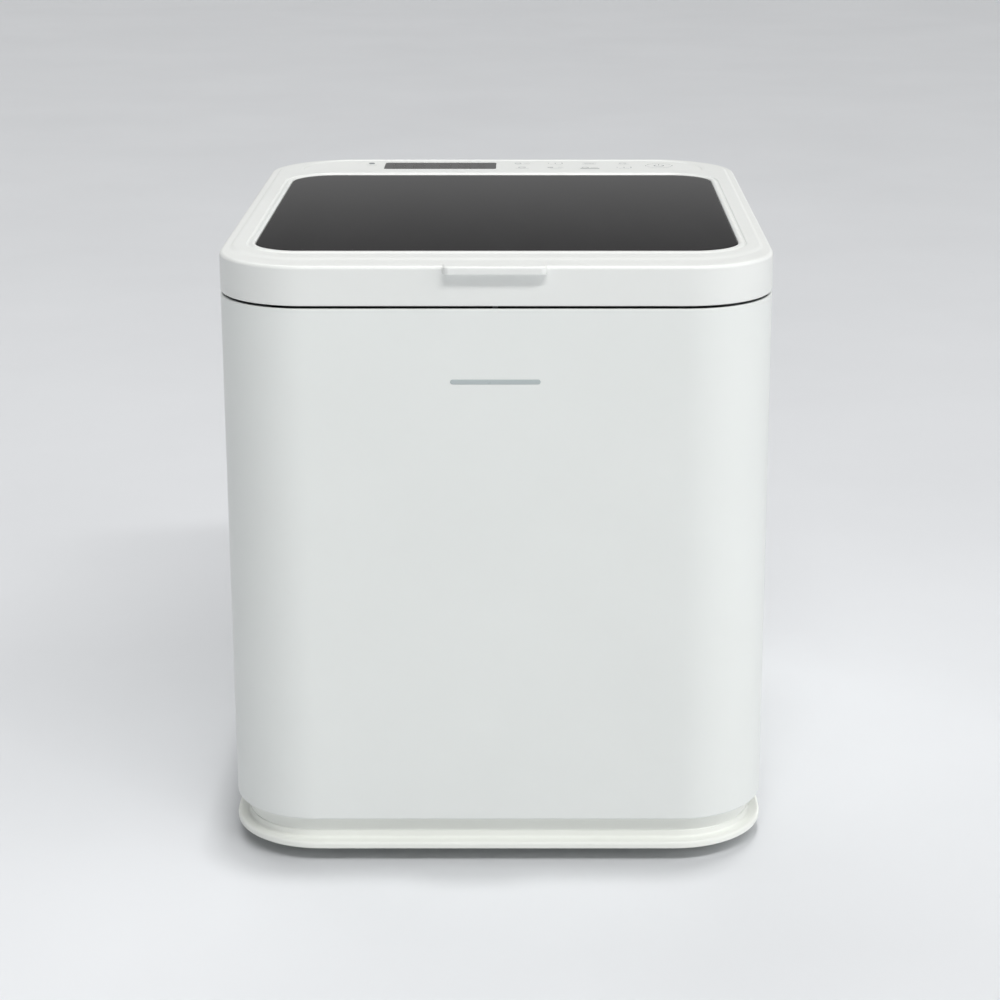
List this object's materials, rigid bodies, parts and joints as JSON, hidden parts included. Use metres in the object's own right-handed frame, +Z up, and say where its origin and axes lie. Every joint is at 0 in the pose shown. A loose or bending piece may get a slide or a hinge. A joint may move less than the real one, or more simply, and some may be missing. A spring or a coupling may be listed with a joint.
{
  "type": "trash compactor",
  "caption": "Top-loading trash compactor: white cabinet on a flanged base, hinged lid with smoked glass and touch controls, and a screw-driven lift that presses waste up against a plate.",
  "frame": {"origin": "on the floor, under the middle of the cabinet", "axes": "+X to the right side, +Y to the rear, +Z up; the finger lip on the lid faces -Y"},
  "size_m": [0.4016, 0.496, 0.4554],
  "materials": {
    "white_moulding": "satin",
    "white_enamel": "satin enamel",
    "overlay_film": "satin film",
    "smoked_glass": "polished, smoked",
    "display_lens": "gloss",
    "key_film": "satin film",
    "indicator_lens": "gloss",
    "black_rubber": "matt",
    "zinc_steel": "zinc plated",
    "screw_steel": "zinc plated",
    "grey_panel": "satin powder coat",
    "black_plastic": "satin",
    "chamber_plastic": "satin",
    "deck_enamel": "satin",
    "bright_steel": "ground",
    "hinge_steel": "satin",
    "motor_paint": "satin",
    "circuit_board": "solder mask",
    "liner_plastic": "fine texture",
    "cast_alloy": "cast, machined",
    "magnet_iron": "ground",
    "nut_brass": "machined",
    "bucket_plastic": "fine texture",
    "ring_plastic": "satin",
    "carbon_filter": "matt"
  },
  "bodies": {
    "cabinet": {"base_tray": "white_moulding", "rubber_feet": "black_rubber", "cabinet_shell": "white_enamel", "chassis_plate": "zinc_steel", "rear_panel": "grey_panel", "rear_panel_screws": "screw_steel", "cord_gland": "black_plastic", "chamber_liner": "chamber_plastic", "liner_standoffs": "zinc_steel", "top_deck": "deck_enamel", "deck_screws": "screw_steel", "side_posts": "zinc_steel", "lower_bearings": "black_plastic", "upper_bearings": "black_plastic", "guide_rods": "bright_steel", "drive_motor": "motor_paint", "motor_bracket": "zinc_steel", "timing_belt": "black_rubber", "power_supply": "motor_paint", "fan_housing": "black_plastic", "filter_duct": "chamber_plastic", "latch_housing": "black_plastic", "cabinet_hinge_leaves": "hinge_steel", "hinge_pins": "bright_steel", "hinge_screws": "screw_steel", "lid_bumpers": "black_rubber", "lid_switch": "black_plastic"},
    "lid": {"lid_frame": "white_moulding", "lid_glass": "smoked_glass", "control_overlay": "overlay_film", "display_window": "display_lens", "touch_keys": "key_film", "finger_lip": "white_moulding", "status_light": "indicator_lens", "control_board": "circuit_board", "lid_liner": "liner_plastic", "lid_gasket": "black_rubber", "lid_crossbars": "zinc_steel", "press_posts": "bright_steel", "press_plate": "cast_alloy", "press_plate_screws": "screw_steel", "lid_striker": "bright_steel", "lid_hinge_leaves": "hinge_steel", "lid_hinge_screws": "screw_steel", "lid_magnet": "magnet_iron"},
    "lift_carriage": {"lift_table": "cast_alloy", "lift_nuts": "nut_brass", "waste_bucket": "bucket_plastic", "bag_ring": "ring_plastic", "bucket_grips": "ring_plastic"},
    "left_screw": {"lift_screw_left": "bright_steel", "screw_pulley_left": "cast_alloy"},
    "right_screw": {"lift_screw_right": "bright_steel", "screw_pulley_right": "cast_alloy"},
    "motor_rotor": {"motor_shaft": "bright_steel", "motor_pulley": "cast_alloy"},
    "latch": {"latch_bolt": "bright_steel"},
    "fan": {"fan_rotor": "black_plastic"},
    "filter": {"filter_cartridge": "carbon_filter", "filter_cover": "grey_panel"}
  },
  "joints": [
    {"name": "lid_hinge", "type": "hinge", "parent": "cabinet", "child": "lid", "pos_m": [0, 0.2446, 0.4245], "axis": [-1, 0, 0], "range_deg": [0, 85]},
    {"name": "bucket_lift", "type": "slide", "parent": "cabinet", "child": "lift_carriage", "axis": [0, 0, 1], "range_m": [0, 0.1]},
    {"name": "left_screw_turn", "type": "hinge", "parent": "cabinet", "child": "left_screw", "pos_m": [-0.176, -0.05, 0.1], "axis": [0, 0, 1], "range_deg": [0, 3600.5]},
    {"name": "right_screw_turn", "type": "hinge", "parent": "cabinet", "child": "right_screw", "pos_m": [0.176, -0.05, 0.1], "axis": [0, 0, 1], "range_deg": [0, 3600.5]},
    {"name": "motor_turn", "type": "hinge", "parent": "cabinet", "child": "motor_rotor", "pos_m": [0, 0.165, 0.05], "axis": [0, 0, 1], "range_deg": [0, 5770]},
    {"name": "latch_slide", "type": "slide", "parent": "cabinet", "child": "latch", "axis": [-1, 0, 0], "range_m": [0, 0.014]},
    {"name": "fan_spin", "type": "hinge", "parent": "cabinet", "child": "fan", "pos_m": [-0.075, 0.225, 0.344], "axis": [0, 1, 0], "continuous": true},
    {"name": "filter_slide", "type": "slide", "parent": "cabinet", "child": "filter", "axis": [0, 1, 0], "range_m": [0, 0.09]}
  ],
  "couplings": [
    {"joint": "left_screw_turn", "follows": "bucket_lift", "rad_per_m": 628.32},
    {"joint": "right_screw_turn", "follows": "bucket_lift", "rad_per_m": 628.32},
    {"joint": "motor_turn", "follows": "bucket_lift", "rad_per_m": 1006.6}
  ]
}
